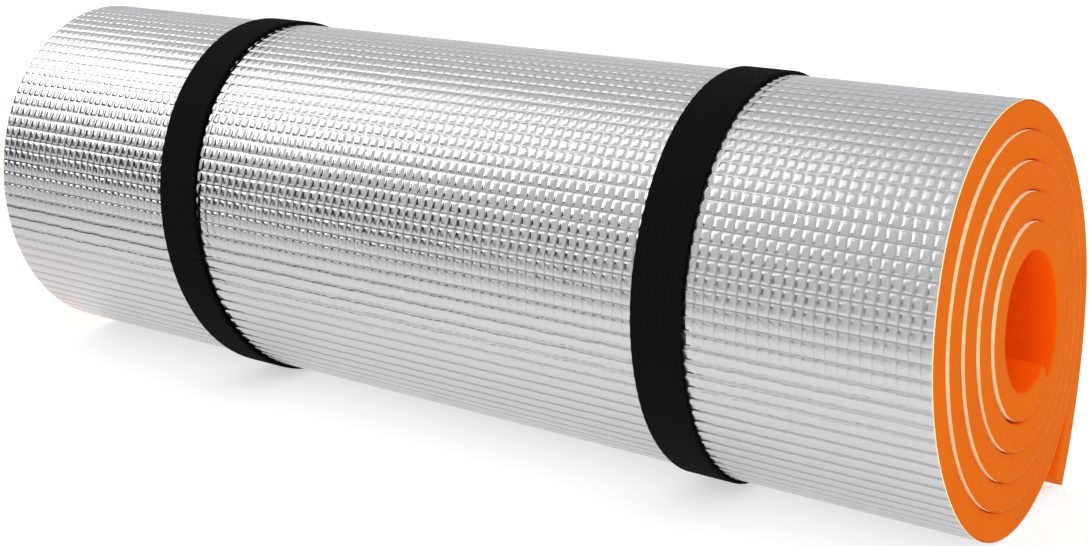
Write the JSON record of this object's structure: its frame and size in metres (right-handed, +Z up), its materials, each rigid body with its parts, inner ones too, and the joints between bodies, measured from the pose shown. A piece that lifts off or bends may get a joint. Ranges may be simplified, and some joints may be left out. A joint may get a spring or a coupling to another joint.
{
  "type": "foam sleeping pad",
  "caption": "Rolled closed-cell foam sleeping pad with an embossed foil face outside and elastic bands that hold the roll",
  "frame": {"origin": "centre of the bounding box's bottom face, on the surface that the bands rest on", "axes": "+X along the roll's axis, towards the end from which the mat is seen to wind outwards clockwise; +Z up; +Y towards the back, where the mat's loose end lies low down"},
  "size_m": [0.5, 0.1766, 0.1687],
  "materials": {
    "foam": "matte",
    "foil": "satin",
    "elastic": "matte",
    "thread": "matte"
  },
  "bodies": {
    "roll": {"foam_sheet": "foam", "foil_face": "foil"},
    "band_left": {"elastic_band_left": "elastic", "band_stitching_left": "thread"},
    "band_right": {"elastic_band_right": "elastic", "band_stitching_right": "thread"}
  },
  "joints": [
    {"name": "band_left_slide", "type": "slide", "parent": "roll", "child": "band_left", "axis": [-1, 0, 0], "range_m": [-0.1, 0.156]},
    {"name": "band_right_slide", "type": "slide", "parent": "roll", "child": "band_right", "axis": [1, 0, 0], "range_m": [-0.118, 0.138]}
  ]
}
